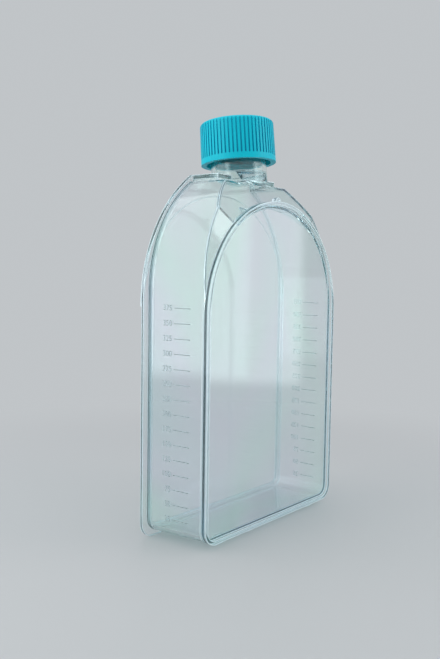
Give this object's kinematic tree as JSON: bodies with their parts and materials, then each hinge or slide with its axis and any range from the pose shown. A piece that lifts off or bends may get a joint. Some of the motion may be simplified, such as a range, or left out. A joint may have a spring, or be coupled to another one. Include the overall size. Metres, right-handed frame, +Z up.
{
  "type": "cell culture flask",
  "caption": "Upright clear flask with a flat arched growth side, a stacking cover plate, a canted neck and a ribbed, vented screw cap.",
  "frame": {"origin": "on the floor under the middle of the whole flask's bounding box, cap included", "axes": "+Z up through the neck, +X to the right across the width, -Y the flat arched growth side, +Y the cover plate that stacks"},
  "size_m": [0.1178, 0.0466, 0.2065],
  "materials": {
    "clear_styrene": "clear, glossy, very slightly blue at its edges",
    "cap_plastic": "satin moulded polyethylene",
    "membrane": "matt porous film"
  },
  "bodies": {
    "flask": {"vessel": "clear_styrene", "cover_plate": "clear_styrene"},
    "vent": {"vent_membrane": "membrane"},
    "cap": {"screw_cap": "cap_plastic"}
  },
  "joints": [
    {"name": "cap_rise", "type": "slide", "parent": "flask", "child": "vent", "axis": [0, 0.0872, 0.9962], "range_m": [0, 0.0221]},
    {"name": "cap_turn", "type": "hinge", "parent": "vent", "child": "cap", "pos_m": [0, 0.00288, 0.1839], "axis": [0, 0.0872, 0.9962], "range_deg": [0, 1980]}
  ],
  "couplings": [
    {"joint": "cap_rise", "follows": "cap_turn", "m_per_rad": 0.00063662}
  ]
}
